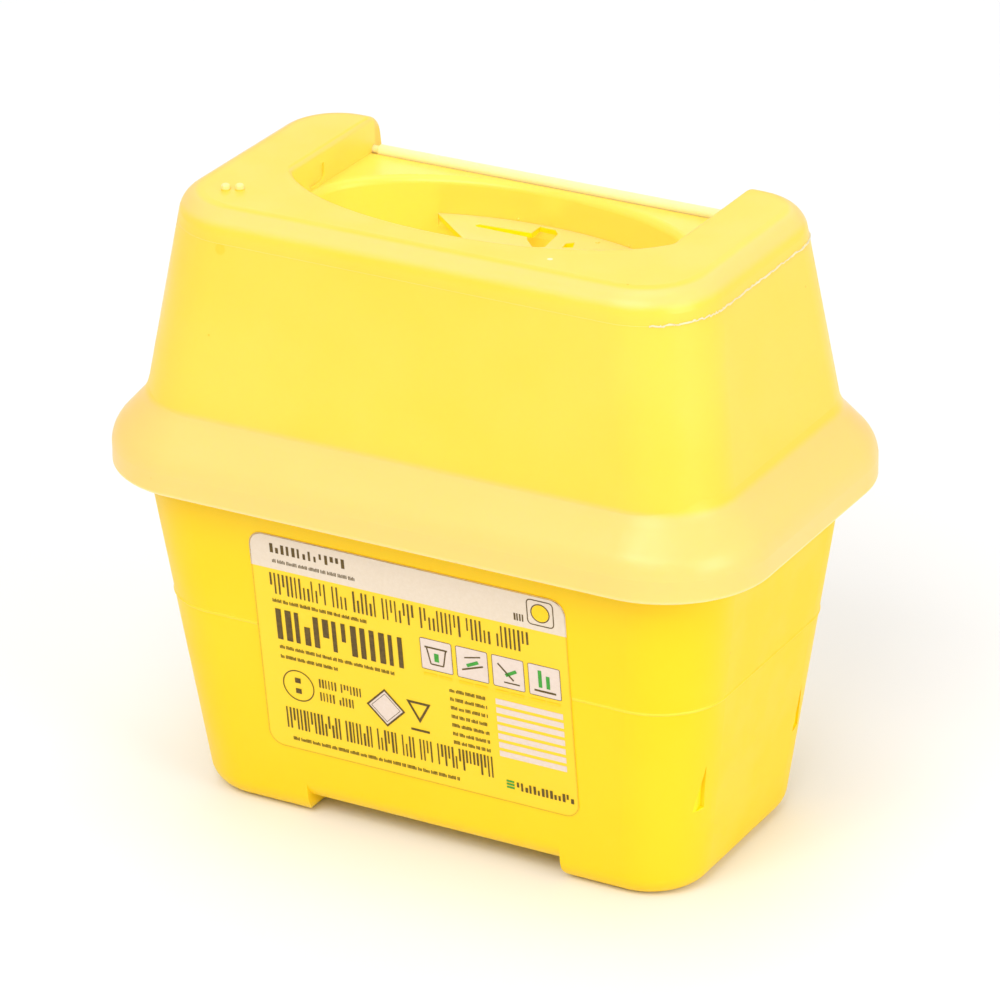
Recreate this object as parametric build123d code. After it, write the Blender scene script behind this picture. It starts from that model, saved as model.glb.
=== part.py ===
from build123d import *
import os
from math import asin, atan2, cos, degrees, radians, sin, sqrt, tan

# A two-litre sharps container: a tapered bin, a snap-on lid with a raised hood, a hinged flap
# that closes the hood's oval mouth, a needle remover in that mouth and a label on the front.
# +X runs along the wide side, the label faces -Y and the feet stand on z = 0. Every sub-part
# is drawn around the container's own centre line, and place() then moves it to the frame's
# origin, which is the middle of the footprint with the flap hanging open behind.

# Driving dimensions, millimetres and degrees
HEIGHT = 180.0          # floor to the top of the lid's shoulders
SEAM_X, SEAM_Y = 90.0, 51.0   # half width and half depth of the bin's wall at its rim
SEAM_R = 21.4           # corner radius there
FOOT_X, FOOT_Y = 77.5, 39.0   # half width and half depth at the floor
FOOT_R = 18.0           # corner radius there
WALL = 1.7              # moulded wall

# Bin
SEAM_Z = 101.0          # the lid's skirt ends here
RIM_TOP_Z = 112.2       # top of the bin's rim flange
FILL_Z = 61.0           # the fill line, a fine raised bead around the bin
BEAD_OUT = 0.3          # how far it stands out
BEAD_H = 0.45           # half its height
RAISE = 5.1             # the floor between the feet is this much higher
FOOT_ENDS_X = (-38.5, 41.5)   # inner ends of the two feet
FOOT_END_R = 4.0        # rounding of a foot's inner end
BOTTOM_R = 7.5          # rounding of the bin's bottom edge
FLANGE_OUT = 5.6        # reach of the rim flange
FLANGE_DROP = 5.0       # height of the flange's turned-down edge

# Stacking grooves in the bin's ends
GROOVE_Z = 27.0
GROOVE_H = 14.5
GROOVE_W = 3.6
GROOVES = ((-30.9, 2.0), (25.0, 1.0))   # each groove's place along Y and its depth there

# Hood of the lid
CREASE_Z = 121.0        # the hood's walls rise from the rim bulge here
CREASE_X, CREASE_Y, CREASE_R = 89.2, 51.0, 21.4
TOP_X = 80.2            # where the end walls and the top would meet
TOP_FRONT, TOP_BACK = 43.5, 41.8   # the same in front and behind
TOP_FRONT_R, TOP_BACK_R = 22.5, 18.0
TOP_ROUND = 7.2
DECK_Z = 169.5          # the lowered deck between the shoulders
SHOULDER_X = 58.5       # inner walls of the shoulders
LEDGE_X, LEDGE_Y = 61.6, 31.7   # half axes of the oval that bounds the front ledge
OVAL_Y = 3.5            # middle of that oval
RECESS_CORNER = 4.0     # where the front ledge turns into a shoulder's inner wall
EDGE_ROUND = 1.5        # rounding of the recess's top edges

# Mouth
MOUTH_X, MOUTH_Y = 57.0, 30.6
MOUTH_MID_Y = 3.7
MOUTH_ROUND = 2.2
MOUTH_END_Z = 150.0
MOUTH_TAPER = 1.4       # how much the half axes shrink down the mouth

# Rim bulge of the lid, an ogee, as (distance out from the bin's wall, height)
BULGE_START = (-1.5, 125.2)
BULGE_HOLLOW = (0.0, 121.3)
SLOPE_TOP = (2.3, 118.5)
SLOPE_END = (6.2, 114.2)
BULGE_TURN = (8.5, 110.9)
BULGE_OUT = 9.45        # the widest place, down to the skirt's rounded lower edge
BULGE_SIDE_Z = (107.5, 102.4)
SKIRT_Z = 100.7
SKIRT_WALL = 1.7
SKIRT_R = 1.2
SNAP_Z = 107.0          # top of the snap rib that holds the bin's flange from below
SNAP_IN = 5.0

# Closure flap and its hinge
HINGE_Y, HINGE_Z = 38.0, 170.1
BARREL_R = 1.7
BARREL_X = 57.0
BARREL_CHAMFER = 0.7
PIN_R = 1.2
PIN_HOLE_R = 1.25       # a running fit, 0.05 mm of clearance all round
PIN_END_X = 60.4
BOSS_R = 2.3
BOSS_END_X = 61.6
PLATE = 1.5
FLAP_GAP = 0.5          # between the flap's edge and the recess
HOOK_GAP = 0.15         # between the flap's side tabs and the shoulders
RIM_RIB = 1.2           # width of the ribs under the flap
PLUG_GAP = 0.5          # between the flap's ring and the mouth
PLUG_DEPTH = 4.4        # how far that ring reaches below the deck
RIB_X = (-28.0, 0.0, 28.0)
GRIP_X, GRIP_Y = 20.0, -5.0     # the grip rib's half length and its place
GRIP_W, GRIP_H = 2.0, 1.8
REST_GAP = 0.3          # between the hanging flap and the rim bulge
RAMP_ANGLE = 21.0       # slope of the hood's back between the shoulders
RAMP_Y, RAMP_Z = 36.1, 167.9

# Latch pockets in the shoulders' inner walls
POCKET_Y = (2.0, 11.0)
POCKET_Z = (170.4, 175.6)
POCKET_DEPTH = 0.7

# Needle remover
REMOVER_TOP = 159.2
REMOVER_T = 1.6
REMOVER_FRONT_Y = 6.0
REMOVER_CORNER = (-30.5, 26.4)   # a point of its slanted free edge
REMOVER_SLANT = 0.845            # that edge's fall in y along x
STIFFENER_END_X = 52.0
SEAT_W = 1.0            # the ledge under it, inside the mouth
SEAT_H = 2.0
NIB_R = 0.5             # the nibs that it snaps under
NIB_ANGLES = (25.0, 62.0, 100.0)

# Label
LABEL_HALF = 49.0
LABEL_Z = (22.3, 91.3)
LABEL_R = 4.5
LABEL_T = 0.2

# Marks left by the mould
PIPS = ((-66.0, -28.2), (-62.6, -26.5))
PIP_R = 1.15
PIP_H = 1.6
PIP_DRAFT = 0.25


def bulge_outside():
    """The outer side of the rim bulge from the hood's wall down, as (distance out, height)."""
    side_top, side_low = ((BULGE_OUT, z) for z in BULGE_SIDE_Z)
    foot = (BULGE_OUT - SKIRT_R, SKIRT_Z)
    round_middle = (BULGE_OUT - 0.3 * SKIRT_R, SKIRT_Z + 0.35 * SKIRT_R)
    return [
        ThreePointArc(BULGE_START, BULGE_HOLLOW, SLOPE_TOP),
        Line(SLOPE_TOP, SLOPE_END),
        ThreePointArc(SLOPE_END, BULGE_TURN, side_top),
        Line(side_top, side_low),
        ThreePointArc(side_low, round_middle, foot),
    ]


def lean_at_rest():
    """The flap's angle from vertical, in degrees, when its plate hangs against the bulge."""
    length = HINGE_Y - (OVAL_Y - LEDGE_Y + FLAP_GAP)
    lean = 0.0
    for edge in bulge_outside():
        for step in range(41):
            point = edge @ (step / 40)
            out, down = SEAM_Y + point.X - HINGE_Y, HINGE_Z - point.Y
            reach = sqrt(out**2 + down**2)
            if reach < length + 2:
                touch = atan2(out, down) + asin((BARREL_R + REST_GAP) / reach)
                lean = max(lean, degrees(touch))
    return lean


REST_LEAN = lean_at_rest()
TRAVEL = 270.0 - REST_LEAN      # from hanging behind the hood to closed


def plan(half_x, half_y, radius, z):
    """A rounded rectangle at height z."""
    return Pos(0, 0, z) * RectangleRounded(2 * half_x, 2 * half_y, radius)


def blend(low, high, share):
    return low + (high - low) * share


def bin_section(z, grow=0.0):
    """The bin's drafted outline at height z, grown sideways by grow."""
    share = z / SEAM_Z
    return plan(
        blend(FOOT_X, SEAM_X, share) + grow,
        blend(FOOT_Y, SEAM_Y, share) + grow,
        blend(FOOT_R, SEAM_R, share) + grow,
        z,
    )


def hood_section(z, grow=0.0):
    """The hood's drafted outline at height z, grown sideways by grow."""
    share = (z - CREASE_Z) / (HEIGHT - CREASE_Z)
    half_x = blend(CREASE_X, TOP_X, share) + grow
    front = blend(CREASE_Y, TOP_FRONT, share) + grow
    back = blend(CREASE_Y, TOP_BACK, share) + grow
    outline = Pos(0, (back - front) / 2) * Rectangle(2 * half_x, front + back)
    for end, top_r in ((0, TOP_FRONT_R), (-1, TOP_BACK_R)):
        corners = outline.vertices().group_by(Axis.Y)[end]
        outline = fillet(corners, blend(CREASE_R, top_r, share) + grow)
    return Pos(0, 0, z) * outline


def tub(bottom_z, top_z, grow, rounding):
    """A solid block of the bin's shape with its bottom edge rounded."""
    block = loft([bin_section(bottom_z, grow), bin_section(top_z, grow)])
    return fillet(block.edges().group_by(Axis.Z)[0], rounding)


def hood_block(bottom_z, top_z, grow, rounding):
    """A solid block of the hood's shape with its top edge rounded."""
    block = loft([hood_section(bottom_z, grow), hood_section(top_z, grow)])
    return fillet(block.edges().group_by(Axis.Z)[-1], rounding)


def box_between(low, high):
    """A box from its lowest to its highest corner."""
    size = [b - a for a, b in zip(low, high)]
    middle = [(a + b) / 2 for a, b in zip(low, high)]
    return Pos(*middle) * Box(*size)


def foot_zone(side, inset, rounding):
    """The space of one foot, its inner end rounded towards the floor."""
    start = abs(FOOT_ENDS_X[0] if side < 0 else FOOT_ENDS_X[1]) + inset
    zone = box_between((start, -60, inset), (100, 60, 30))
    edge = zone.edges().filter_by(Axis.Y).group_by(Axis.Z)[0].sort_by(Axis.X)[0]
    zone = fillet(edge, rounding)
    return zone if side > 0 else mirror(zone, Plane.YZ)


def seam_path():
    """The bin's outline at its rim, starting at the left end of the front."""
    straight_x, straight_y = SEAM_X - SEAM_R, SEAM_Y - SEAM_R
    path = [Line((-straight_x, -SEAM_Y), (straight_x, -SEAM_Y))]
    for length in (2 * straight_y, 2 * straight_x, 2 * straight_y, 0):
        corner = JernArc(path[-1] @ 1, path[-1] % 1, SEAM_R, 90)
        path.append(corner)
        if length:
            path.append(PolarLine(corner @ 1, length, direction=corner % 1))
    return Wire([edge.edge() for edge in path])


def around_the_rim(outline):
    """Carry a closed outline, drawn as (distance out, height), around the bin's rim."""
    start = Plane(origin=(-(SEAM_X - SEAM_R), -SEAM_Y, 0), x_dir=(0, -1, 0), z_dir=(-1, 0, 0))
    return sweep(start * make_face(outline), path=seam_path())


def groove_cutter(y, depth):
    """A wedge groove in the bin's right end, pointed at the top."""
    draft_x = (SEAM_X - FOOT_X) / SEAM_Z
    wall_x = FOOT_X + draft_x * GROOVE_Z
    tilt = degrees(atan2(draft_x, 1))
    face = Plane(
        origin=(wall_x, y, GROOVE_Z),
        x_dir=(0, 1, 0),
        z_dir=(cos(radians(tilt)), 0, -sin(radians(tilt))),
    )
    wedge = make_face(Polyline((-GROOVE_W / 2, 0), (GROOVE_W / 2, 0.8), (0.2, GROOVE_H), close=True))
    return extrude(face * wedge, amount=depth, both=True)


def make_bin():
    """The yellow bin: drafted walls, two feet, the fill line and the snap rim."""
    body = tub(RAISE, SEAM_Z, 0, BOTTOM_R)
    full = tub(0, FILL_Z, 0, BOTTOM_R)
    hollow = tub(RAISE + WALL, SEAM_Z + 1, -WALL, BOTTOM_R - WALL)
    deep = tub(WALL, FILL_Z, -WALL, BOTTOM_R - WALL)
    for side in (1, -1):
        body += full & foot_zone(side, 0, FOOT_END_R)
        hollow += deep & foot_zone(side, WALL, FOOT_END_R)
    body += fill_bead()
    body -= hollow
    for y, depth in GROOVES:
        cutter = groove_cutter(y, depth)
        body = body - cutter - mirror(cutter, Plane.YZ)
    return body + around_the_rim(rim_outline())


def fill_bead():
    """The bead of the fill line, which stops at the label's edges."""
    ridge = bin_section(FILL_Z, BEAD_OUT)
    bead = loft([bin_section(FILL_Z - BEAD_H), ridge]) + loft([ridge, bin_section(FILL_Z + BEAD_H)])
    half = LABEL_HALF + LABEL_T
    return bead - box_between((-half, -SEAM_Y - 5, 0), (half, 0, SEAM_Z))


def rim_outline():
    """The bin's rim: the wall's top and a flange with a turned-down edge."""
    low_z = RIM_TOP_Z - FLANGE_DROP
    under_z = RIM_TOP_Z - 1.5
    lip, corner = 1.4, 0.8
    return Polyline(
        (-WALL, SEAM_Z),
        (0, SEAM_Z),
        (0, under_z),
        (FLANGE_OUT - lip, under_z),
        (FLANGE_OUT - lip, low_z),
        (FLANGE_OUT, low_z),
        (FLANGE_OUT, RIM_TOP_Z - corner),
        (FLANGE_OUT - corner, RIM_TOP_Z),
        (-WALL, RIM_TOP_Z),
        close=True,
    )


def front_plane():
    """The bin's drafted front face, x to the right and y up it."""
    lean = atan2(SEAM_Y - FOOT_Y, SEAM_Z)
    return Plane(
        origin=(0, -FOOT_Y, 0),
        x_dir=(1, 0, 0),
        z_dir=(0, -cos(lean), -sin(lean)),
    )


def make_label():
    """The printed film on the bin's front."""
    lean = atan2(SEAM_Y - FOOT_Y, SEAM_Z)
    low, high = (z / cos(lean) for z in LABEL_Z)
    outline = RectangleRounded(2 * LABEL_HALF, high - low, LABEL_R)
    return extrude(front_plane() * Pos(0, (low + high) / 2) * outline, amount=LABEL_T)


def recess_outline(grow, back_y):
    """The plan of the space between the shoulders, from the front ledge back to back_y."""
    half = SHOULDER_X + grow
    oval = Pos(0, OVAL_Y) * Ellipse(LEDGE_X + grow, LEDGE_Y + grow)
    behind = Pos(0, OVAL_Y + 40) * Rectangle(2 * half, 80)
    outline = (oval + behind) & (Pos(0, back_y - 60) * Rectangle(2 * half, 120))
    front_corners = [v for v in outline.vertices() if abs(v.X) > half - 0.01 and v.Y < OVAL_Y]
    return fillet(front_corners, RECESS_CORNER + grow)


def recess(grow):
    """The lowered deck's space: between the shoulders, behind the front ledge, open at the back."""
    return extrude(Pos(0, 0, DECK_Z - grow) * recess_outline(grow, 80), amount=30)


def recess_top_edges(hood):
    """The edges where the hood's flat top turns down into the recess."""
    front_y = OVAL_Y - LEDGE_Y - 0.1
    for edge in hood.edges():
        points = [edge @ share for share in (0, 0.5, 1)]
        if all(p.Z > HEIGHT - 0.01 and abs(p.X) < SHOULDER_X + 0.1 and p.Y > front_y for p in points):
            yield edge


def ramp(grow):
    """The space behind the hood's back ramp, where the open flap hangs."""
    half = SHOULDER_X + grow
    slope = tan(radians(RAMP_ANGLE))
    start_y = RAMP_Y - grow / cos(radians(RAMP_ANGLE))
    low_z = CREASE_Z + 4
    outline = make_face(
        Polyline(
            (start_y, HEIGHT + 10),
            (start_y, RAMP_Z),
            (start_y + (RAMP_Z - low_z) * slope, low_z),
            (80, low_z),
            (80, HEIGHT + 10),
            close=True,
        )
    )
    return extrude(Plane.YZ * outline, amount=half, both=True)


def mouth_shrink(z):
    """How much smaller the mouth's half axes are at height z than at the deck."""
    return MOUTH_TAPER * (DECK_Z - z) / (DECK_Z - MOUTH_END_Z)


def mouth_section(grow, z):
    """The mouth's oval at height z."""
    half_x = MOUTH_X + grow - mouth_shrink(z)
    half_y = MOUTH_Y + grow - mouth_shrink(z)
    return Pos(0, MOUTH_MID_Y, z) * Ellipse(half_x, half_y)


def mouth(grow, top_z, end_z):
    """The oval mouth's tapered space between two heights."""
    return loft([mouth_section(grow, top_z), mouth_section(grow, end_z)])


def bulge_outline():
    """The lid's rim bulge, its snap rib, its seal rib and the lip inside the bin's wall."""
    inside_x = BULGE_OUT - SKIRT_WALL
    flange_under = RIM_TOP_Z - FLANGE_DROP
    ledge_x = inside_x - 0.2
    bulge_inside = [(6.9, 110.4), (5.1, 112.8), (2.6, 115.6)]
    seal_out, seal_in, seal_root_z = 2.6, 1.2, 117.1
    lip_out, lip_in, lip_root_z = -WALL - 0.15, -WALL - 1.35, 120.2
    inner = [
        (BULGE_OUT - SKIRT_R, SKIRT_Z),
        (inside_x, SKIRT_Z),
        (inside_x, SNAP_Z - 2.6),
        (SNAP_IN, SNAP_Z - 0.8),
        (SNAP_IN, SNAP_Z),
        (ledge_x, SNAP_Z),
        (ledge_x, SNAP_Z + 1),
        *bulge_inside,
        (seal_out, RIM_TOP_Z),
        (seal_in, RIM_TOP_Z),
        (seal_in, seal_root_z),
        (lip_out, lip_root_z),
        (lip_out, flange_under),
        (lip_in, flange_under),
        (lip_in, CREASE_Z + 0.6),
        (BULGE_START[0] - 0.3, BULGE_START[1]),
        BULGE_START,
    ]
    return [*bulge_outside(), Polyline(*inner)]


def flap_outline(gap):
    """The closed flap's outline: the recess drawn in by a gap, from the hinge forwards."""
    return recess_outline(-gap, HINGE_Y - BARREL_R - 0.3)


def along_x(radius, start_x, end_x, y=HINGE_Y, z=HINGE_Z):
    """A cylinder along X, on the hinge's axis unless told otherwise."""
    cylinder = Cylinder(radius, end_x - start_x, rotation=(0, 90, 0))
    return Pos((start_x + end_x) / 2, y, z) * cylinder


def make_lid():
    """The translucent lid: hood, shoulders, deck, mouth and the rim bulge that snaps on."""
    outer = hood_block(CREASE_Z, HEIGHT, 0, TOP_ROUND)
    inner = hood_block(CREASE_Z - 1, HEIGHT - WALL, -WALL, TOP_ROUND - WALL)
    body = outer - recess(0) - ramp(0)
    body = fillet(list(recess_top_edges(body)), EDGE_ROUND)
    hollow = inner - recess(WALL) - ramp(WALL) - mouth(WALL, DECK_Z + 20, MOUTH_END_Z)
    lid = body - hollow
    for side in (1, -1):
        boss = along_x(BOSS_R, SHOULDER_X, BOSS_END_X)
        pocket_back = box_between(
            (SHOULDER_X + 0.1, POCKET_Y[0] - WALL, POCKET_Z[0] - WALL),
            (SHOULDER_X + POCKET_DEPTH + WALL, POCKET_Y[1] + WALL, POCKET_Z[1] + WALL),
        )
        lid += turned(boss + pocket_back, side) & outer
    lid -= mouth(0, DECK_Z + 20, MOUTH_END_Z - 1)
    lid = fillet(mouth_rim(lid), MOUTH_ROUND)
    for side in (1, -1):
        hole = along_x(PIN_HOLE_R, SHOULDER_X - 1, BOSS_END_X - 0.8)
        lid -= turned(hole + latch_pocket(), side)
    for x, y in PIPS:
        lid += Pos(x, y, HEIGHT) * pip()
    lid += remover_seat()
    for nib in nibs():
        lid += nib
    return lid + around_the_rim(bulge_outline())


def pip():
    """A small peg with a domed end, standing on z = 0 and rooted a little below it."""
    root = 1.0
    peg = Pos(0, 0, (PIP_H - root) / 2) * Cone(PIP_R + PIP_DRAFT, PIP_R, PIP_H + root)
    return fillet(peg.edges().group_by(Axis.Z)[-1], PIP_R * 0.6)


def turned(shape, side):
    """The shape itself, or its mirror image on the left."""
    return shape if side > 0 else mirror(shape, Plane.YZ)


def mouth_rim(lid):
    """The edge where the deck turns down into the mouth."""
    deck = lid.faces().filter_by(Axis.Z).filter_by(lambda f: abs(f.center().Z - DECK_Z) < 0.01)
    wires = [wire for face in deck for wire in face.inner_wires()]
    return [edge for wire in wires for edge in wire.edges()]


def latch_pocket():
    """A shallow pocket with a rounded foot, in the right shoulder's inner wall."""
    width = POCKET_Y[1] - POCKET_Y[0]
    height = POCKET_Z[1] - POCKET_Z[0]
    cutter = box_between(
        (SHOULDER_X - 1, POCKET_Y[0], POCKET_Z[0]),
        (SHOULDER_X + POCKET_DEPTH, POCKET_Y[1], POCKET_Z[1]),
    )
    feet = cutter.edges().filter_by(Axis.X).group_by(Axis.Z)[0]
    return fillet(feet, min(width, height) * 0.45)


def remover_outline(grow):
    """The needle remover's outline: the mouth's oval behind a slanted and a straight edge."""
    shrink = mouth_shrink(REMOVER_TOP - REMOVER_T)
    oval = Ellipse(MOUTH_X - shrink + grow, MOUTH_Y - shrink + grow)
    corner_x, corner_y = REMOVER_CORNER
    front_x = corner_x + (corner_y - REMOVER_FRONT_Y) / REMOVER_SLANT
    far_x = corner_x - 20 / REMOVER_SLANT
    kept = make_face(
        Polyline(
            (front_x, REMOVER_FRONT_Y),
            (far_x, corner_y + 20),
            (80, corner_y + 20),
            (80, REMOVER_FRONT_Y),
            close=True,
        )
    )
    return (Pos(0, MOUTH_MID_Y) * oval) & kept


def remover_seat():
    """The ledge inside the mouth that the needle remover is snapped down on."""
    low_z = REMOVER_TOP - REMOVER_T - SEAT_H
    ring = remover_outline(0.6) - remover_outline(-SEAT_W)
    band = Pos(0, 0, low_z) * extrude(ring, amount=SEAT_H)
    strip = box_between((-80, REMOVER_FRONT_Y, 0), (80, 80, HEIGHT))
    slanted = extrude(remover_outline(2), amount=HEIGHT)
    return band & strip & slanted & mouth(0.4, DECK_Z, MOUTH_END_Z)


def nibs():
    """Small round nibs on the mouth's wall that the needle remover snaps under."""
    z = REMOVER_TOP + NIB_R
    for angle in NIB_ANGLES:
        x = (MOUTH_X - mouth_shrink(z) + 0.2) * cos(radians(angle))
        y = MOUTH_MID_Y + (MOUTH_Y - mouth_shrink(z) + 0.2) * sin(radians(angle))
        yield Pos(x, y, z) * Sphere(NIB_R)


def keyhole():
    """The needle remover's keyhole: a slot that narrows away from a wide opening."""
    slot = Polyline((-1.5, 23.9), (-18.0, 24.1), (-19.2, 25.2), (-18.2, 26.3), (-1.5, 27.4), close=True)
    opening = Polyline(
        (-2.6, 32.4),
        (2.4, 32.2),
        (4.6, 29.6),
        (5.8, 19.7),
        (3.1, 17.9),
        (-0.9, 21.9),
        (-2.3, 24.4),
        close=True,
    )
    return make_face(slot) + make_face(opening)


def second_hole():
    """The small four-sided hole beside the keyhole."""
    return make_face(Polyline((10.1, 21.6), (12.8, 22.9), (11.4, 26.6), (9.5, 25.0), close=True))


def make_needle_remover():
    """The plate low in the mouth: a needle's hub is pulled off in its keyhole."""
    outline = remover_outline(-0.02) - keyhole() - second_hole()
    plate = Pos(0, 0, REMOVER_TOP - REMOVER_T) * extrude(outline, amount=REMOVER_T)
    peg = Pos(17.1, 29.0, REMOVER_TOP) * Cylinder(0.6, 0.8)
    front_x = REMOVER_CORNER[0] + (REMOVER_CORNER[1] - REMOVER_FRONT_Y) / REMOVER_SLANT
    stiffener = box_between(
        (front_x + 1, REMOVER_FRONT_Y, REMOVER_TOP - 4.5),
        (STIFFENER_END_X, REMOVER_FRONT_Y + 1.4, REMOVER_TOP - REMOVER_T),
    )
    return plate + peg + stiffener


def make_flap_closed():
    """The closure flap in its closed place, over the deck."""
    plate_z = HINGE_Z + BARREL_R - PLATE
    flap = Pos(0, 0, plate_z) * extrude(flap_outline(FLAP_GAP), amount=PLATE)
    rib_z = DECK_Z + 0.15
    edge_rib = flap_outline(FLAP_GAP) - flap_outline(FLAP_GAP + RIM_RIB)
    flap += Pos(0, 0, rib_z) * extrude(edge_rib, amount=plate_z - rib_z)
    shrink = PLUG_GAP + 0.2
    ring = Ellipse(MOUTH_X - shrink, MOUTH_Y - shrink) - Ellipse(
        MOUTH_X - shrink - RIM_RIB, MOUTH_Y - shrink - RIM_RIB
    )
    ring_z = DECK_Z - PLUG_DEPTH
    ring = extrude(Pos(0, MOUTH_MID_Y, ring_z) * ring, amount=plate_z - ring_z)
    clear = along_x(BARREL_R + 0.9, -SHOULDER_X, SHOULDER_X)
    flap += ring - clear
    for x in RIB_X:
        half_y = (MOUTH_Y - shrink - 0.5) * sqrt(1 - (x / MOUTH_X) ** 2)
        flap += box_between(
            (x - RIM_RIB / 2, MOUTH_MID_Y - half_y, ring_z + 1.6),
            (x + RIM_RIB / 2, MOUTH_MID_Y + half_y - 1.5, plate_z),
        )
    barrel = chamfer(along_x(BARREL_R, -BARREL_X, BARREL_X).edges(), BARREL_CHAMFER)
    flap += barrel + along_x(PIN_R, -PIN_END_X, PIN_END_X)
    flap += box_between(
        (-BARREL_X + 1, HINGE_Y - BARREL_R - 1, plate_z),
        (BARREL_X - 1, HINGE_Y, plate_z + PLATE),
    )
    for side in (1, -1):
        tab = box_between(
            (SHOULDER_X - 2, POCKET_Y[0] + 1.5, plate_z),
            (SHOULDER_X - HOOK_GAP, POCKET_Y[1] - 1.5, plate_z + PLATE),
        )
        flap += turned(tab, side)
    top_z = plate_z + PLATE
    grip = box_between(
        (-GRIP_X, GRIP_Y - GRIP_W / 2, top_z),
        (GRIP_X, GRIP_Y + GRIP_W / 2, top_z + GRIP_H),
    )
    return flap + fillet(grip.edges().group_by(Axis.Z)[-1], 0.6)


def make_flap():
    """The closure flap swung open about its hinge, hanging against the rim bulge."""
    hinge = Axis((0, HINGE_Y, HINGE_Z), (1, 0, 0))
    return make_flap_closed().rotate(hinge, -TRAVEL)


def main():
    parts = {
        "container_bin": make_bin(),
        "lid": make_lid(),
        "closure_flap": make_flap(),
        "needle_remover": make_needle_remover(),
        "front_label": make_label(),
    }
    rim_back = SEAM_Y + BULGE_OUT
    centre_y = (parts["closure_flap"].bounding_box().max.Y - rim_back) / 2
    os.makedirs("parts", exist_ok=True)
    for name, part in parts.items():
        export_step(Pos(0, -centre_y, 0) * part, f"parts/{name}.step")
        print(name, "solids", len(part.solids()), "volume", round(part.volume))
    print("hinge at y", round(HINGE_Y - centre_y, 3), "z", HINGE_Z, "travel", round(TRAVEL, 2))


main()
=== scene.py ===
import random
from math import atan2, cos, pi, radians, sin, tan

import bmesh
import bpy
from mathutils import Matrix, Vector


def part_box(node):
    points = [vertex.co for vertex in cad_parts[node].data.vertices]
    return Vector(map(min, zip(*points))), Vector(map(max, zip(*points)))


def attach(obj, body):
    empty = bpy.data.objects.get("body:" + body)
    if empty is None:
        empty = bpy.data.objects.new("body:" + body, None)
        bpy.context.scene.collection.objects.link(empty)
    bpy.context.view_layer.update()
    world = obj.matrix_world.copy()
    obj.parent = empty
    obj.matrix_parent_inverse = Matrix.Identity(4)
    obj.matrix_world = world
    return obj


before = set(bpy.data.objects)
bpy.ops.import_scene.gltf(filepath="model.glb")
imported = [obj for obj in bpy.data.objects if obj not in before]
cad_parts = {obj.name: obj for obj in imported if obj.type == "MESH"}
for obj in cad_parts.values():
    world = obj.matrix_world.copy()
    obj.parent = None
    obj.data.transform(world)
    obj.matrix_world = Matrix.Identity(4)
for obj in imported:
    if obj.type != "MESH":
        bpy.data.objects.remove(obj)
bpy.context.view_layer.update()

MM = 0.001

# Places that everything below is measured from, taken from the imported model
bin_low, bin_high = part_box("container_bin")
lid_low, lid_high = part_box("lid")
label_low, label_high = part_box("front_label")
CENTRE_Y = (bin_low.y + bin_high.y) / 2      # the container's own centre line
RIM_CREASE_Z = bin_high.z + 10 * MM          # where the hood's wall rises from the rim
PEG_H = 1.6 * MM                             # the two small pegs stand this far above the lid's flat top
TOP_Z = lid_high.z - PEG_H
PARTING_Z = 171.5 * MM                       # the height of the hood's parting line

# The well in the lid's top, which carries painted light
WELL_X, WELL_Y = 62 * MM, 38.0 * MM          # half its size
WELL_Z = TOP_Z - 32 * MM                     # its foot
WELL_FADE = 6 * MM                           # its painted light fades out over this height above the foot

# The rolled edge between the lid's top and its walls carries a painted highlight: where that starts, and
# where it is full
EDGE_LOW, EDGE_FULL = TOP_Z - 5 * MM, TOP_Z - 2.5 * MM

# The bin's fill line with a painted highlight on its bead, and the two wedge grooves in its right end,
# which carry painted light
FILL_Z, BEAD_HALF = 61 * MM, 0.35 * MM
FOOT_HALF = 77.5 * MM                        # half the bin's length at the floor
CORNER_R = 17 * MM                           # the grooves lie within this distance of the end
GROOVE_Y = (-30.9 * MM, 25.0 * MM)           # from the centre line
GROOVE_Z, GROOVE_H = 27 * MM, 14.5 * MM      # the foot of each groove, and its height
GROOVE_HALF = 1.8 * MM                       # half the width at the foot

STRIP_Z = 167 * MM                           # the flap's hinge strip, with its painted highlight, is above this at rest
STRIP_FADE = 3 * MM
REMOVER_TOP = 159.2 * MM

# Small marks on the lid: the middle, and the radius
GATE_MARK, GATE_R = (-58 * MM, CENTRE_Y - 44.7 * MM, 170 * MM), 1.9 * MM
LEDGE_DOT, DOT_R = (35.4 * MM, CENTRE_Y - 31.4 * MM, TOP_Z), 0.9 * MM

# Light that comes through thin walls, as faint emission
WELL_GLOW = 0.06
REMOVER_GLOW = 0.1
GROOVE_GLOW = 0.06


# ---------------------------------------------------------------- materials

def srgb(red, green, blue):
    """A colour given as 0 to 255 display values, as the linear colour that shaders take."""
    linear = []
    for value in (red, green, blue):
        share = value / 255
        linear.append(share / 12.92 if share <= 0.04045 else ((share + 0.055) / 1.055) ** 2.4)
    return (*linear, 1.0)


def new_material(name):
    """A material with an empty node tree but for its shader and output."""
    material = bpy.data.materials.new(name)
    material.use_nodes = True
    return material, material.node_tree, material.node_tree.nodes["Principled BSDF"]


def add(tree, kind, **values):
    """A node of one kind, with its inputs and settings given by name."""
    node = tree.nodes.new(kind)
    for key, value in values.items():
        if key in node.inputs:
            node.inputs[key].default_value = value
        else:
            setattr(node, key, value)
    return node


def noise(tree, place, scale, detail=2.0, roughness=0.5):
    """Smooth noise at one scale, from 0 to 1."""
    node = add(tree, "ShaderNodeTexNoise", Scale=scale, Detail=detail, Roughness=roughness)
    tree.links.new(place, node.inputs["Vector"])
    return node.outputs["Fac"]


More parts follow.
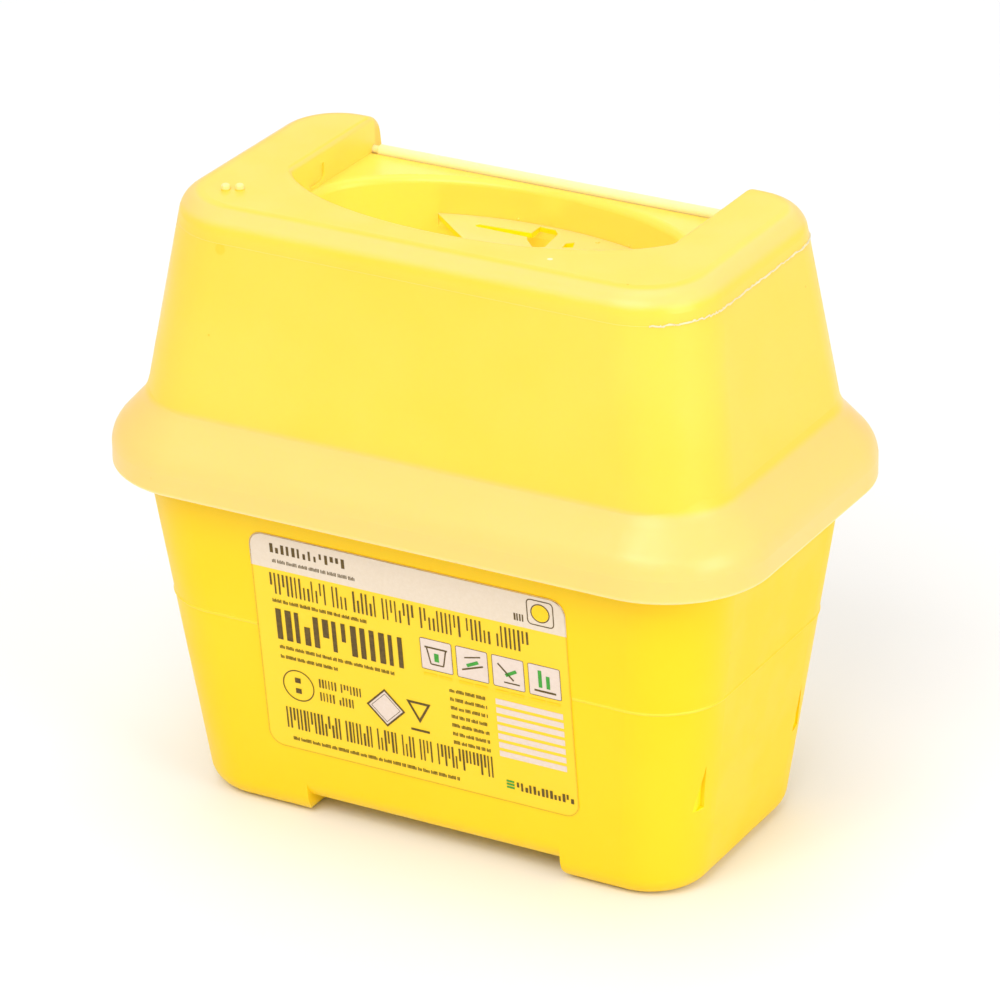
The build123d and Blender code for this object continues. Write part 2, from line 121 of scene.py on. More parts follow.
def remap(tree, value, low, high, new_low, new_high):
    """A value's range eased into a new one, and held at its ends."""
    node = tree.nodes.new("ShaderNodeMapRange")
    node.interpolation_type = "SMOOTHSTEP"
    for key, number in (("From Min", low), ("From Max", high), ("To Min", new_low), ("To Max", new_high)):
        node.inputs[key].default_value = number
    tree.links.new(value, node.inputs["Value"])
    return node.outputs["Result"]


def mix(tree, share, first, second):
    """A colour between two; each is a colour or a socket."""
    node = tree.nodes.new("ShaderNodeMix")
    node.data_type = "RGBA"
    tree.links.new(share, node.inputs["Factor"])
    sockets = [s for s in node.inputs if s.type == "RGBA"]
    for socket, colour in zip(sockets, (first, second)):
        if isinstance(colour, tuple):
            socket.default_value = colour
        else:
            tree.links.new(colour, socket)
    return [s for s in node.outputs if s.type == "RGBA"][0]


def satin_surface(tree, shader, place, roughness, grain):
    """The fine spark-eroded grain of a mould as bump, flow waves, and a roughness that drifts."""
    drift = noise(tree, place, 45, 3)
    rough = remap(tree, drift, 0.35, 0.65, roughness - 0.05, roughness + 0.06)
    tree.links.new(rough, shader.inputs["Roughness"])
    fine = noise(tree, place, 2400, 2, 0.6)
    bump = add(tree, "ShaderNodeBump", Strength=grain, Distance=0.00006)
    tree.links.new(fine, bump.inputs["Height"])
    sag = noise(tree, place, 38, 1)
    wave = add(tree, "ShaderNodeBump", Strength=0.12, Distance=0.0012)
    tree.links.new(sag, wave.inputs["Height"])
    level = add(tree, "ShaderNodeMapping", Scale=(6.0, 6.0, 900.0))
    tree.links.new(place, level.inputs["Vector"])
    rubbed = add(tree, "ShaderNodeBump", Strength=0.10, Distance=0.00008)
    tree.links.new(noise(tree, level.outputs["Vector"], 1.0, 3, 0.6), rubbed.inputs["Height"])
    tree.links.new(wave.outputs["Normal"], rubbed.inputs["Normal"])
    tree.links.new(rubbed.outputs["Normal"], bump.inputs["Normal"])
    tree.links.new(bump.outputs["Normal"], shader.inputs["Normal"])


def specks(tree, place, colour, dark):
    """A few tiny specks of deeper colour, such as unmelted granules leave."""
    cells = add(tree, "ShaderNodeTexVoronoi", Scale=60.0, Randomness=1.0)
    tree.links.new(place, cells.inputs["Vector"])
    dot = remap(tree, cells.outputs["Distance"], 0.014, 0.026, 0.7, 0.0)
    return mix(tree, dot, colour, dark)


def axes(tree, place):
    """The X, Y and Z of a place."""
    node = tree.nodes.new("ShaderNodeSeparateXYZ")
    tree.links.new(place, node.inputs["Vector"])
    return node.outputs["X"], node.outputs["Y"], node.outputs["Z"]


def calc(tree, operation, *values):
    """One step of arithmetic on numbers or sockets."""
    node = add(tree, "ShaderNodeMath", operation=operation)
    for value, socket in zip(values, node.inputs):
        if isinstance(value, float):
            socket.default_value = value
        else:
            tree.links.new(value, socket)
    return node.outputs["Value"]


def both(tree, first, second):
    """The product of two masks."""
    return calc(tree, "MULTIPLY", first, second)


def away_from(tree, value, middle):
    """How far a coordinate is from a middle."""
    return calc(tree, "ABSOLUTE", calc(tree, "SUBTRACT", value, middle))


def inside(tree, value, middle, half, soft):
    """1 where a coordinate is within half of the middle, and 0 from soft beyond that."""
    return remap(tree, away_from(tree, value, middle), half, half + soft, 1.0, 0.0)


def near(tree, place, point, radius):
    """1 close to a point, fading to 0 at the radius."""
    away = add(tree, "ShaderNodeVectorMath", operation="DISTANCE")
    tree.links.new(place, away.inputs[0])
    away.inputs[1].default_value = point
    return remap(tree, away.outputs["Value"], 0.6 * radius, radius, 1.0, 0.0)


def in_grooves(tree, x, y, z):
    """1 inside the two wedge grooves cut into the bin's right end."""
    reach = remap(tree, z, GROOVE_Z, GROOVE_Z + GROOVE_H, GROOVE_HALF, 0.0)
    masks = []
    for middle in GROOVE_Y:
        margin = calc(tree, "SUBTRACT", reach, away_from(tree, y, CENTRE_Y + middle))
        masks.append(remap(tree, margin, 0.0, 0.2 * MM, 0.0, 1.0))
    either = calc(tree, "ADD", *masks)
    right = remap(tree, x, FOOT_HALF - CORNER_R, FOOT_HALF - CORNER_R + 1 * MM, 0.0, 1.0)
    above = remap(tree, z, GROOVE_Z + 0.2 * MM, GROOVE_Z + 0.6 * MM, 0.0, 1.0)
    return both(tree, both(tree, either, right), above)


def translucence(shader, specular, weight, radius):
    """How much light the plastic mirrors, and how far light spreads in it."""
    shader.inputs["Specular IOR Level"].default_value = specular
    shader.inputs["Subsurface Weight"].default_value = weight
    shader.inputs["Subsurface Radius"].default_value = radius
    shader.inputs["Subsurface Scale"].default_value = 1.0


def bin_plastic():
    """Opaque yellow polypropylene, a little deeper where the melt flowed last, with a painted highlight on
    the fill line's bead and painted light in the grooves.
    """
    material, tree, shader = new_material("bin_plastic_look")
    place = add(tree, "ShaderNodeTexCoord").outputs["Object"]
    flow = remap(tree, noise(tree, place, 16, 3, 0.55), 0.35, 0.68, 0.0, 1.0)
    colour = mix(tree, flow, srgb(252, 210, 10), srgb(253, 213, 24))
    x, y, z = axes(tree, place)
    # painted highlight: the fill line's bead is painted paler, for the light it catches
    bead_highlight = inside(tree, z, FILL_Z, BEAD_HALF, 0.25 * MM)
    colour = mix(tree, bead_highlight, colour, srgb(254, 217, 58))
    # painted light: the grooves are painted a paler yellow and glow faintly, for light through the bin's
    # wall there
    groove = in_grooves(tree, x, y, z)
    colour = mix(tree, groove, colour, srgb(255, 222, 14))
    shader.inputs["Emission Color"].default_value = srgb(255, 222, 0)
    tree.links.new(both(tree, groove, GROOVE_GLOW), shader.inputs["Emission Strength"])
    tree.links.new(specks(tree, place, colour, srgb(226, 170, 0)), shader.inputs["Base Color"])
    satin_surface(tree, shader, place, 0.42, 0.22)
    translucence(shader, 0.3, 0.1, (0.003, 0.0018, 0.0004))
    return material


def translucent_plastic(name, shade, pale):
    """Translucent polypropylene in its plain tones; returns what a caller needs to vary it."""
    material, tree, shader = new_material(name)
    place = add(tree, "ShaderNodeTexCoord").outputs["Object"]
    flow = remap(tree, noise(tree, place, 14, 3, 0.55), 0.34, 0.68, 0.0, 1.0)
    colour = mix(tree, flow, shade, pale)
    satin_surface(tree, shader, place, 0.33, 0.2)
    translucence(shader, 0.4, 0.4, (0.004, 0.0035, 0.0012))
    return material, tree, shader, place, colour


def plain_translucent(name, shade, pale):
    """The same plastic on a small part."""
    material, tree, shader, place, colour = translucent_plastic(name, shade, pale)
    tree.links.new(colour, shader.inputs["Base Color"])
    return material


def flap_plastic(shade, pale, strip):
    """The flap's plastic, with a painted highlight along its thin hinge strip."""
    material, tree, shader, place, colour = translucent_plastic("flap_plastic_look", shade, pale)
    _, _, z = axes(tree, place)
    # painted highlight along the hinge strip
    strip_highlight = remap(tree, z, STRIP_Z - STRIP_FADE, STRIP_Z, 0.0, 1.0)
    tree.links.new(mix(tree, strip_highlight, colour, strip), shader.inputs["Base Color"])
    return material


def remover_plastic(shade, pale):
    """The needle remover's plastic: deep yellow on its cut edges, which light reaches through the walls."""
    material, tree, shader, place, colour = translucent_plastic("remover_plastic_look", shade, pale)
    _, _, z = axes(tree, place)
    painted_edge_light = remap(tree, z, REMOVER_TOP - 0.35 * MM, REMOVER_TOP - 0.1 * MM, 1.0, 0.0)
    tree.links.new(mix(tree, painted_edge_light, colour, srgb(255, 215, 8)), shader.inputs["Base Color"])
    shader.inputs["Emission Color"].default_value = srgb(255, 222, 10)
    shader.inputs["Emission Strength"].default_value = REMOVER_GLOW
    return material


def in_well_mask(tree, x, y, z):
    """1 in the well of the lid's top, below the flat faces around it."""
    in_plan = both(tree, inside(tree, x, 0.0, WELL_X, 3 * MM),
                   inside(tree, y, CENTRE_Y, WELL_Y, 1.5 * MM))
    in_height = both(tree, remap(tree, z, TOP_Z - 2.2 * MM, TOP_Z - 0.2 * MM, 1.0, 0.0),
                     remap(tree, z, WELL_Z, WELL_Z + WELL_FADE, 0.0, 1.0))
    return both(tree, in_plan, in_height)


def lid_plastic(shade, pale, rim, lip, well):
    """The lid's plastic, with painted light: a painted sheen on the hollow rim, painted highlights on the
    top's rolled edge, the lip and the pegs, and a paler painted tone with a glow in the well.
    """
    material, tree, shader, place, colour = translucent_plastic("lid_plastic_look", shade, pale)
    x, y, z = axes(tree, place)
    # painted sheen: the rim below the crease is painted paler, for the light on its upper face
    rim_sheen = remap(tree, z, RIM_CREASE_Z - 1.2 * MM, RIM_CREASE_Z + 1.0 * MM, 1.0, 0.0)
    colour = mix(tree, rim_sheen, colour, rim)
    # painted highlight along the lip at the skirt's foot
    lip_highlight = remap(tree, z, lid_low.z, lid_low.z + 1.6 * MM, 0.8, 0.0)
    colour = mix(tree, lip_highlight, colour, lip)
    # painted highlight on the rolled edge just below the flat top
    painted_edge_light = both(tree, remap(tree, z, EDGE_LOW, EDGE_FULL, 0.0, 1.0),
                   remap(tree, z, TOP_Z - 0.6 * MM, TOP_Z - 0.1 * MM, 1.0, 0.0))
    colour = mix(tree, painted_edge_light, colour, srgb(255, 209, 116))
    # painted highlight on the two pegs
    peg_highlight = remap(tree, z, TOP_Z + 0.1 * MM, TOP_Z + 0.5 * MM, 0.0, 1.0)
    colour = mix(tree, peg_highlight, colour, srgb(255, 226, 150))
    # painted light in the well: a paler tone and a faint glow, for light through its thin walls
    well_light = in_well_mask(tree, x, y, z)
    colour = mix(tree, well_light, colour, well)
    shader.inputs["Emission Color"].default_value = well
    tree.links.new(both(tree, well_light, WELL_GLOW), shader.inputs["Emission Strength"])
    colour = mix(tree, near(tree, place, GATE_MARK, GATE_R), colour, srgb(251, 203, 50))
    colour = mix(tree, near(tree, place, LEDGE_DOT, DOT_R), colour, srgb(255, 240, 190))
    tree.links.new(specks(tree, place, colour, srgb(236, 184, 12)), shader.inputs["Base Color"])
    return material


def label_film():
    """Glossy printed film, with the small ripples of a stuck-down label."""
    material, tree, shader = new_material("label_film_look")
    place = add(tree, "ShaderNodeTexCoord").outputs["Object"]
    tone = remap(tree, noise(tree, place, 30, 2), 0.35, 0.65, 0.0, 1.0)
    tree.links.new(mix(tree, tone, srgb(253, 210, 22), srgb(254, 213, 30)), shader.inputs["Base Color"])
    ripple = add(tree, "ShaderNodeBump", Strength=0.15, Distance=0.0006)
    tree.links.new(noise(tree, place, 70, 2), ripple.inputs["Height"])
    tree.links.new(ripple.outputs["Normal"], shader.inputs["Normal"])
    tree.links.new(remap(tree, noise(tree, place, 90, 2), 0.3, 0.7, 0.28, 0.36), shader.inputs["Roughness"])
    return material


def ink(name, colour, lighter, roughness=0.45):
    """Screen-printed ink whose cover varies a little."""
    material, tree, shader = new_material(name)
    place = add(tree, "ShaderNodeTexCoord").outputs["Object"]
    cover = remap(tree, noise(tree, place, 900, 3, 0.7), 0.3, 0.75, 0.0, 1.0)
    tree.links.new(mix(tree, cover, colour, lighter), shader.inputs["Base Color"])
    shader.inputs["Roughness"].default_value = roughness
    shader.inputs["Specular IOR Level"].default_value = 0.35
    return material


# ---------------------------------------------------------------- the label's print

FILM = 0.2 * MM
PRINT_LIFT = 0.05 * MM       # print stands this far off the film, so that the two don't mix
PRINT_THICK = 0.03 * MM
LEAN = atan2(label_high.y - label_low.y - FILM, label_high.z - label_low.z)


def on_label(x_mm, z_mm, lift):
    """A point of the print, from its place across and its height, in millimetres."""
    z = z_mm * MM
    y = label_low.y + (label_high.z - z) * tan(LEAN)
    return Vector((x_mm * MM, y - lift * cos(LEAN), z - lift * sin(LEAN)))


class Print:
    """One ink's flat shapes, gathered into one thin mesh."""

    def __init__(self, name, layer=0):
        self.name = name
        self.mesh = bmesh.new()
        self.low = PRINT_LIFT + layer * 2 * PRINT_THICK

    def shape(self, points):
        """A flat shape with a closed outline, given anticlockwise as seen from the front."""
        front = [self.mesh.verts.new(on_label(x, z, self.low + PRINT_THICK)) for x, z in points]
        back = [self.mesh.verts.new(on_label(x, z, self.low)) for x, z in points]
        self.mesh.faces.new(front)
        self.mesh.faces.new(list(reversed(back)))
        for i in range(len(points)):
            j = (i + 1) % len(points)
            self.mesh.faces.new((front[j], front[i], back[i], back[j]))

    def ring(self, outer, inner):
        """A closed band between two outlines of the same number of points."""
        count = len(outer)
        for i in range(count):
            j = (i + 1) % count
            self.shape([outer[i], outer[j], inner[j], inner[i]])

    def bar(self, x0, z0, x1, z1):
        self.shape([(x0, z0), (x1, z0), (x1, z1), (x0, z1)])

    def stroke(self, x0, z0, x1, z1, width):
        """A straight stroke between two points."""
        along = Vector((x1 - x0, z1 - z0)).normalized() * (width / 2)
        side = Vector((-along.y, along.x))
        self.shape([
            (x0 + side.x, z0 + side.y), (x0 - side.x, z0 - side.y),
            (x1 - side.x, z1 - side.y), (x1 + side.x, z1 + side.y),
        ])

    def finish(self, material):
        bmesh.ops.recalc_face_normals(self.mesh, faces=self.mesh.faces)
        data = bpy.data.meshes.new(self.name)
        self.mesh.to_mesh(data)
        self.mesh.free()
        data.materials.append(material)
        piece = bpy.data.objects.new(self.name, data)
        bpy.context.scene.collection.objects.link(piece)
        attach(piece, "container")
        return piece


def rounded(x0, z0, x1, z1, radius, steps=8):
    """The outline of a rectangle with round corners."""
    points = []
    corners = ((x1 - radius, z0 + radius, -90), (x1 - radius, z1 - radius, 0),
               (x0 + radius, z1 - radius, 90), (x0 + radius, z0 + radius, 180))
    for x, z, start in corners:
        for step in range(steps + 1):
            angle = radians(start + 90 * step / steps)
            points.append((x + radius * cos(angle), z + radius * sin(angle)))
    return points


def blend(low, high, share):
    """The number a share of the way from low to high."""
    return low + (high - low) * share


def circle(x, z, radius, steps=40):
    """A circle's outline."""
    angles = [2 * pi * i / steps for i in range(steps)]
    return [(x + radius * cos(angle), z + radius * sin(angle)) for angle in angles]


# How much of the line's height a bar may fill, from its foot and its top
BAR_SPANS = ((0.0, 1.0), (0.0, 1.0), (0.0, 1.0), (0.0, 0.6), (0.4, 1.0))


def word_bars(ink_mesh, rand, x0, x1, z0, z1, width, words):
    """Uneven upright bars in groups, which stand for a printed line. They spell nothing."""
    pitch = (x1 - x0 - width) / (sum(words) + len(words) - 2)
    x = x0
    for count in words:
        for _ in range(count):
            low, high = rand.choice(BAR_SPANS)
            wide = width * rand.uniform(0.75, 1.2)
            ink_mesh.bar(x, blend(z0, z1, low), x + wide, blend(z0, z1, high))
            x += pitch
        x += pitch


def text_line(ink_mesh, rand, x0, x1, z0, height, stroke):
    """A line of small print: short strokes of uneven height, broken into words."""
    x = x0
    while x < x1 - stroke:
        for _ in range(rand.randint(3, 8)):
            if x > x1 - stroke:
                break
            lift = rand.choice((0, 0, 0.25 * height))
            ink_mesh.bar(x, z0, x + stroke, z0 + height - lift)
            x += stroke * 1.75
        x += stroke * 1.6


# The label in millimetres: half its width, its top and foot, its corners, and the header's lower edge
LABEL_X = label_high.x / MM
LABEL_TOP = label_high.z / MM - 0.03
LABEL_FOOT = label_low.z / MM + 0.03
LABEL_R = 4.5
HEADER_Z = 80.4
FRAME_OUT, FRAME_IN = 0.05, 0.35         # the frame line's edges, in from the label's edge


def header_band():
    """The pale band across the label's top, its upper corners round as the label's."""
    band = Print("label_header")
    outline = [p for p in rounded(-LABEL_X, LABEL_FOOT, LABEL_X, LABEL_TOP, LABEL_R) if p[1] > HEADER_Z]
    outline = [(-LABEL_X, HEADER_Z), (LABEL_X, HEADER_Z)] + outline
    band.shape(outline)
    return band.finish(ink("header_ink", srgb(226, 210, 188), srgb(230, 215, 195)))


def label_frame():
    """A thin darker line just inside the label's edge."""
    line = Print("label_frame")
    outlines = []
    for inset, radius in ((FRAME_OUT, LABEL_R), (FRAME_IN, LABEL_R - 0.3)):
        side, foot, top = LABEL_X - inset, LABEL_FOOT + inset, LABEL_TOP - inset
        outlines.append(rounded(-side, foot, side, top, radius))
    line.ring(*outlines)
    # a darker yellow line along the film's edge, laid over it as a print layer
    return line.finish(ink("edge_line_look", srgb(226, 178, 26), srgb(236, 192, 40)))


# Places on the label, in millimetres across from its middle and up from the floor
TILE_X = (3.0, 14.1, 25.2, 36.3)     # the left edges of the four picture tiles
TILE_W = 9.8
TILE_Z = (59.6, 69.5)
STRIPES = 7                          # the stripes to write on
WRITE_X = (25.4, 46.1)
WRITE_Z = (36.4, 55.9)
STRIPE_GAP = 1.0
DIAMOND = (-9.8, 43.5)               # the diamond's middle
DIAMOND_HALF = 6.1
RING = (-37.6, 43.7)                 # the ring's middle
ICON = (41.4, 86.0)                  # the middle of the header's icon
SMALL_H, SMALL_STROKE = 1.1, 0.24    # the small print's height and stroke


def diamond(half):
    """The diamond's outline at one size."""
    x, z = DIAMOND
    return [(x, z - half), (x + half, z), (x, z + half), (x - half, z)]


def white_print():
    """The tiles' ground, the write-on stripes and the diamond's ground."""
    white = Print("label_white_print")
    for x in TILE_X:
        white.shape(rounded(x, TILE_Z[0], x + TILE_W, TILE_Z[1], 0.5, 3))
    pitch = (WRITE_Z[1] - WRITE_Z[0]) / STRIPES
    for row in range(STRIPES):
        z = WRITE_Z[0] + row * pitch
        white.bar(WRITE_X[0], z + STRIPE_GAP / 2, WRITE_X[1], z + pitch - STRIPE_GAP / 2)
    white.shape(diamond(DIAMOND_HALF - 0.2))
    return white.finish(ink("white_ink", srgb(226, 208, 194), srgb(231, 214, 202)))


def tile_pictures(dark):
    """Plain strokes in the tiles: a tub, and single lines over or under the green marks."""
    x0, x1, x2, x3 = TILE_X
    dark.stroke(x0 + 2.0, 66.6, x0 + 3.0, 61.6, 0.4)
    dark.stroke(x0 + 3.0, 61.6, x0 + 6.9, 61.6, 0.4)
    dark.stroke(x0 + 6.9, 61.6, x0 + 7.9, 66.6, 0.4)
    dark.stroke(x0 + 1.4, 66.8, x0 + 8.4, 66.8, 0.5)
    dark.stroke(x1 + 1.6, 62.2, x1 + 8.2, 64.6, 0.5)
    dark.stroke(x1 + 2.6, 66.2, x1 + 7.6, 67.4, 0.4)
    dark.stroke(x2 + 1.8, 67.0, x2 + 6.4, 62.4, 0.5)
    dark.stroke(x2 + 3.4, 61.4, x2 + 8.2, 61.4, 0.4)
    dark.stroke(x3 + 1.6, 61.3, x3 + 8.2, 61.3, 0.6)


def dark_print():
    """Everything in the dark ink: word bars, small print, rings and outlines. No lettering."""
    dark = Print("label_dark_print", layer=1)
    rand = random.Random(7)
    # header: a short bold line and a fine one
    word_bars(dark, rand, -42.4, -19.0, 85.7, 88.6, 0.85, [14])
    text_line(dark, rand, -42.0, -15.6, 82.6, SMALL_H, SMALL_STROKE)
    # the wide heading and its fine line
    word_bars(dark, rand, -43.4, 37.0, 72.5, 79.1, 0.5, [14, 4, 6, 8, 10, 6, 8])
    text_line(dark, rand, -43.2, -13.0, 69.7, SMALL_H, SMALL_STROKE)
    # the bold word
    word_bars(dark, rand, -42.7, -2.6, 57.9, 67.7, 1.6, [14])
    text_line(dark, rand, -42.4, -5.5, 54.9, SMALL_H, SMALL_STROKE)
    text_line(dark, rand, -42.4, -24.0, 51.8, SMALL_H, SMALL_STROKE)
    # the ring and the two lines beside it
    dark.ring(circle(*RING, 5.0), circle(*RING, 4.7))
    dark.bar(-38.6, 44.6, -36.8, 46.2)
    dark.bar(-38.6, 41.2, -36.8, 42.8)
    word_bars(dark, rand, -30.8, -17.5, 44.9, 47.7, 0.4, [6, 7])
    word_bars(dark, rand, -30.8, -20.2, 40.6, 43.4, 0.4, [5, 5])
    # the diamond's two outlines
    for half, width in ((DIAMOND_HALF, 0.75), (DIAMOND_HALF - 1.5, 0.2)):
        dark.ring(diamond(half), diamond(half - width))
    # a plain triangle where a mark stood
    dark.ring([(0.8, 41.2), (4.6, 48.0), (-3.0, 48.0)], [(0.8, 42.6), (3.5, 47.3), (-1.9, 47.3)])
    dark.bar(-2.2, 38.4, 3.6, 39.1)
    # the lower heading and its fine line
    word_bars(dark, rand, -42.5, 22.9, 29.1, 35.9, 0.5, [16, 8, 6, 4, 4, 16])
    text_line(dark, rand, -41.0, 12.0, 25.3, SMALL_H, SMALL_STROKE)
    # the tiles' outlines and the column of fine lines beside the stripes
    for x in TILE_X:
        dark.ring(rounded(x, TILE_Z[0], x + TILE_W, TILE_Z[1], 0.5, 3),
                  rounded(x + 0.14, TILE_Z[0] + 0.14, x + TILE_W - 0.14, TILE_Z[1] - 0.14, 0.4, 3))
    pitch = (WRITE_Z[1] - WRITE_Z[0]) / STRIPES
    for row in range(STRIPES):
        text_line(dark, rand, 11.1, 22.8, WRITE_Z[0] + row * pitch + 0.8, SMALL_H, SMALL_STROKE)
    tile_pictures(dark)
    # the foot of the label: a short bold line
    word_bars(dark, rand, 30.0, 47.4, 26.9, 29.5, 0.75, [14])
    # the header's icon
    x, z = ICON
    dark.ring(rounded(x - 4.1, z - 4.0, x + 4.1, z + 4.0, 1.4, 5),
              rounded(x - 3.8, z - 3.7, x + 3.8, z + 3.7, 1.1, 5))
    dark.ring(circle(x, z, 2.9), circle(x, z, 2.6))
    word_bars(dark, rand, 33.2, 36.2, 82.2, 84.4, 0.5, [4])
    return dark.finish(ink("dark_ink", srgb(80, 60, 12), srgb(104, 82, 26)))


def green_print():
    """The green marks in the picture tiles and at the label's foot."""
    green = Print("label_green_print", layer=1)
    x0, x1, x2, x3 = TILE_X
    green.bar(x0 + 4.2, 62.6, x0 + 5.6, 65.2)
    green.stroke(x1 + 3.2, 63.8, x1 + 6.8, 65.6, 1.0)
    green.stroke(x2 + 4.0, 63.6, x2 + 7.4, 65.6, 1.0)
    green.bar(x3 + 3.0, 62.4, x3 + 4.1, 67.8)
    green.bar(x3 + 5.4, 62.4, x3 + 6.5, 66.4)
    for row in range(3):
        green.bar(26.8, 27.0 + row, 29.2, 27.6 + row)
    return green.finish(ink("green_ink", srgb(52, 150, 44), srgb(70, 164, 58)))


def yellow_print():
    """The yellow disc of the header's icon, and the captions under the picture tiles."""
    yellow = Print("label_yellow_print", layer=1)
    yellow.shape(circle(*ICON, 2.55))
    for x in TILE_X:
        yellow.bar(x + 0.4, TILE_Z[0] - 2.0, x + 4.6, TILE_Z[0] - 1.2)
        yellow.bar(x + 5.2, TILE_Z[0] - 2.0, x + 9.2, TILE_Z[0] - 1.2)
    return yellow.finish(ink("yellow_ink", srgb(250, 206, 6), srgb(252, 212, 24)))


# ---------------------------------------------------------------- marks of the mould

def lid_section(z):
    """The edges where a level plane cuts the lid, as pairs of points."""
    mesh = bmesh.new()
    mesh.from_mesh(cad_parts["lid"].data)
    cut = bmesh.ops.bisect_plane(
        mesh, geom=mesh.verts[:] + mesh.edges[:] + mesh.faces[:],
        plane_co=(0, 0, z), plane_no=(0, 0, 1),
    )
    edges = [e for e in cut["geom_cut"] if isinstance(e, bmesh.types.BMEdge)]
    pairs = [(e.verts[0].co.copy(), e.verts[1].co.copy()) for e in edges]
    mesh.free()
    return pairs


def chains(pairs):
    """Edge pairs joined end to end into runs of points."""
    links = {}
    for a, b in pairs:
        key_a = tuple(round(v, 6) for v in a)
        key_b = tuple(round(v, 6) for v in b)
        if key_a != key_b:
            links.setdefault(key_a, set()).add(key_b)
            links.setdefault(key_b, set()).add(key_a)
    left = set(links)
    runs = []
    while left:
        ends = sorted(k for k in left if len(links[k]) == 1) or sorted(left)
        run = [ends[0]]
        left.discard(ends[0])
        while True:
            onward = sorted(k for k in links[run[-1]] if k in left)
            if not onward:
                break
            run.append(onward[0])
            left.discard(onward[0])
        runs.append([Vector(p) for p in run])
    return runs


def parting_line():
    """The thin flash line around the hood's front and ends, rough on the right end."""
    outside = [
        (a, b) for a, b in lid_section(PARTING_Z)
        if abs(a.x) > 62 * MM or a.y - CENTRE_Y < -34 * MM
    ]
    run = max(chains(outside), key=len)
    rand = random.Random(11)
    curve = bpy.data.curves.new("parting_line", "CURVE")
    curve.dimensions = "3D"
    curve.bevel_depth = 1.0
    curve.bevel_resolution = 2
    points = []
    for a, b in zip(run, run[1:]):
        count = max(1, int((b - a).length / (1.2 * MM)))
        points += [a.lerp(b, i / count) for i in range(count)]
    points.append(run[-1])
    spline = curve.splines.new("POLY")
    spline.points.add(len(points) - 1)
    for place, point in zip(points, spline.points):
        rough = place.x > 70 * MM
        wander = rand.uniform(-0.25, 0.25) * MM if rough else 0.0
        point.co = (place.x, place.y, place.z + wander, 1)
        point.radius = (rand.uniform(0.16, 0.36) if rough else 0.025) * MM
    piece = bpy.data.objects.new("parting_line", curve)
    bpy.context.scene.collection.objects.link(piece)
    return piece


# ---------------------------------------------------------------- stage

def make_floor():
    """A plain pale floor."""
    bpy.ops.mesh.primitive_plane_add(size=14)
    floor = bpy.context.object
    floor.name = "floor"
    material, _, shader = new_material("floor_white")
    shader.inputs["Base Color"].default_value = (0.93, 0.93, 0.93, 1)
    shader.inputs["Roughness"].default_value = 0.9
    floor.data.materials.append(material)


def make_sky():
    """Even white light from all round."""
    world = bpy.data.worlds.new("studio")
    bpy.context.scene.world = world
    world.use_nodes = True
    background = world.node_tree.nodes["Background"]
    background.inputs["Color"].default_value = (1, 1, 1, 1)
    background.inputs["Strength"].default_value = 0.64


def softbox(name, place, size, power):
    """A rectangular lamp aimed at the container's middle."""
    data = bpy.data.lights.new(name, "AREA")
    data.shape = "RECTANGLE"
    data.size, data.size_y = size
    data.energy = power
    light = bpy.data.objects.new(name, data)
    light.location = place
    aim = Vector((0, CENTRE_Y, TOP_Z / 2)) - Vector(place)
    light.rotation_euler = aim.to_track_quat("-Z", "Y").to_euler()
    bpy.context.scene.collection.objects.link(light)


def inner_lamp():
    """A weak lamp in the cavity, for the daylight that the lid's thin walls let in."""
    data = bpy.data.lights.new("inside", "POINT")
    data.energy = 0.12
    data.shadow_soft_size = 0.02
    lamp = bpy.data.objects.new("inside", data)
    lamp.location = (0, CENTRE_Y, 0.08)
    bpy.context.scene.collection.objects.link(lamp)


def make_lights():
    """Soft studio light: strongest from the front and above."""
    softbox("front_top", (0.1, -1.5, 1.7), (1.4, 1.0), 21)
    softbox("overhead", (-0.1, 0.1, 2.0), (1.1, 1.0), 7)
    softbox("back", (-0.8, 1.7, 1.1), (1.8, 1.0), 4)
    inner_lamp()
    softbox("right", (2.0, -0.5, 0.9), (1.2, 1.2), 15)


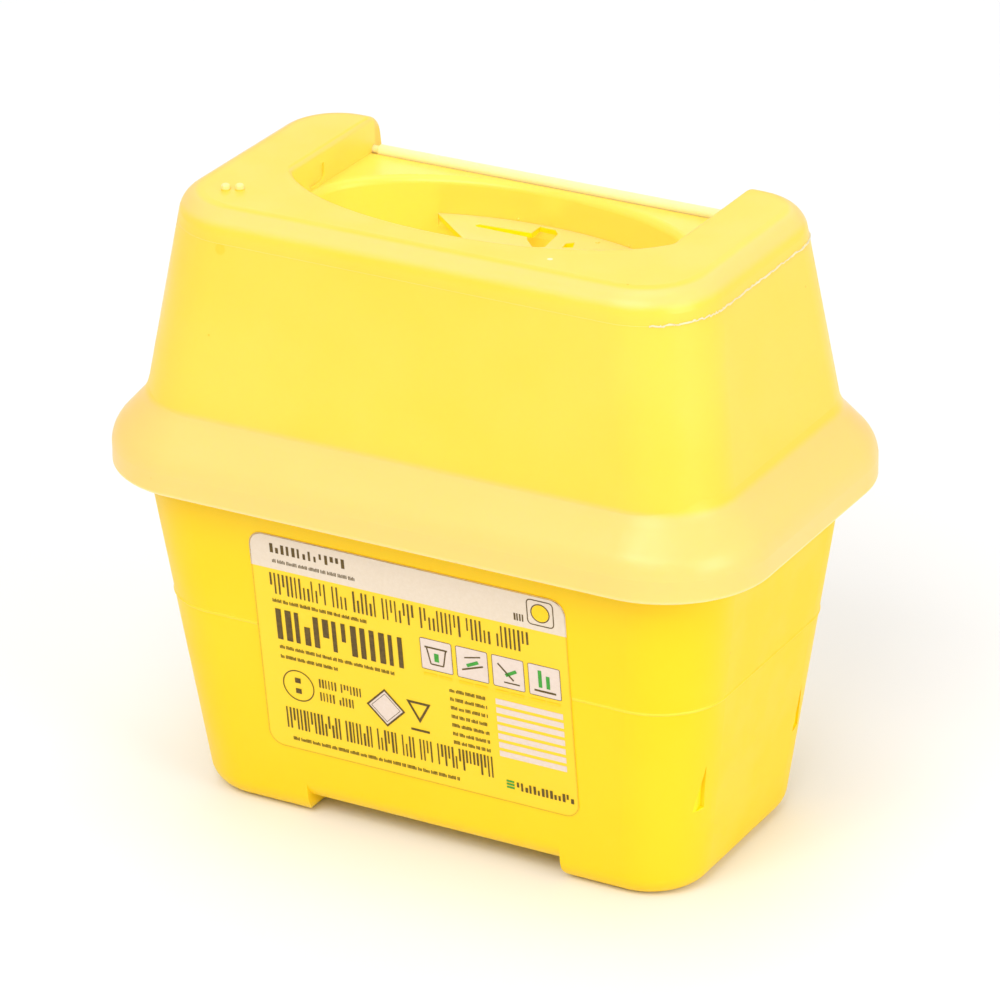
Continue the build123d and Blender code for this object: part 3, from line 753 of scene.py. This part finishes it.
AZIMUTH, ELEVATION, ROLL = 29.32, 24.91, -0.73     # degrees
DISTANCE = 1.5103
LENS, SENSOR = 197.2, 36                           # both in millimetres
SHIFT_RIGHT = 1.62 * MM


def place_camera():
    """A long lens, to the right of the front and above, rolled a little."""
    az, el, roll = radians(AZIMUTH), radians(ELEVATION), radians(ROLL)
    back = Vector((sin(az) * cos(el), -cos(az) * cos(el), sin(el)))
    right = Vector((cos(az), sin(az), 0))
    up = back.cross(right)
    turned_right = cos(roll) * right + sin(roll) * up
    turned_up = -sin(roll) * right + cos(roll) * up
    data = bpy.data.cameras.new("camera")
    data.lens = LENS
    data.sensor_width = SENSOR
    data.clip_end = 50
    camera = bpy.data.objects.new("camera", data)
    target = Vector((0, CENTRE_Y, TOP_Z / 2))
    where = target + turned_right * SHIFT_RIGHT + back * DISTANCE
    turn = Matrix((turned_right, turned_up, back)).transposed().to_4x4()
    camera.matrix_world = Matrix.Translation(where) @ turn
    bpy.context.scene.collection.objects.link(camera)
    bpy.context.scene.camera = camera
    bpy.context.scene.view_settings.view_transform = "Standard"


def dress(node, material):
    """A CAD node in one material."""
    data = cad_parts[node].data
    data.materials.clear()
    data.materials.append(material)


place_camera()
make_floor()
make_sky()
make_lights()

dress("container_bin", bin_plastic())
# painted light in the lid's tones: the rim's is a painted sheen, the lip's a painted highlight, the well's
# the light through its thin walls
dress("lid", lid_plastic(srgb(253, 209, 66), srgb(254, 212, 78), srgb(255, 208, 116), srgb(255, 232, 170),
                         srgb(254, 219, 88)))
# painted highlight: the parting line's flash is a thin bead of real shape, painted pale for the light it
# catches
flash_highlight_look = plain_translucent("flash_highlight_look", srgb(255, 234, 168), srgb(255, 238, 182))
# the flap's third tone is the painted highlight of its hinge strip
dress("closure_flap", flap_plastic(srgb(254, 218, 104), srgb(255, 222, 118), srgb(255, 236, 174)))
dress("needle_remover", remover_plastic(srgb(254, 206, 128), srgb(255, 210, 140)))
dress("front_label", label_film())

header_band()
label_frame()
white_print()
yellow_print()
dark_print()
green_print()

line = parting_line()
line.data.materials.append(flash_highlight_look)
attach(line, "container")
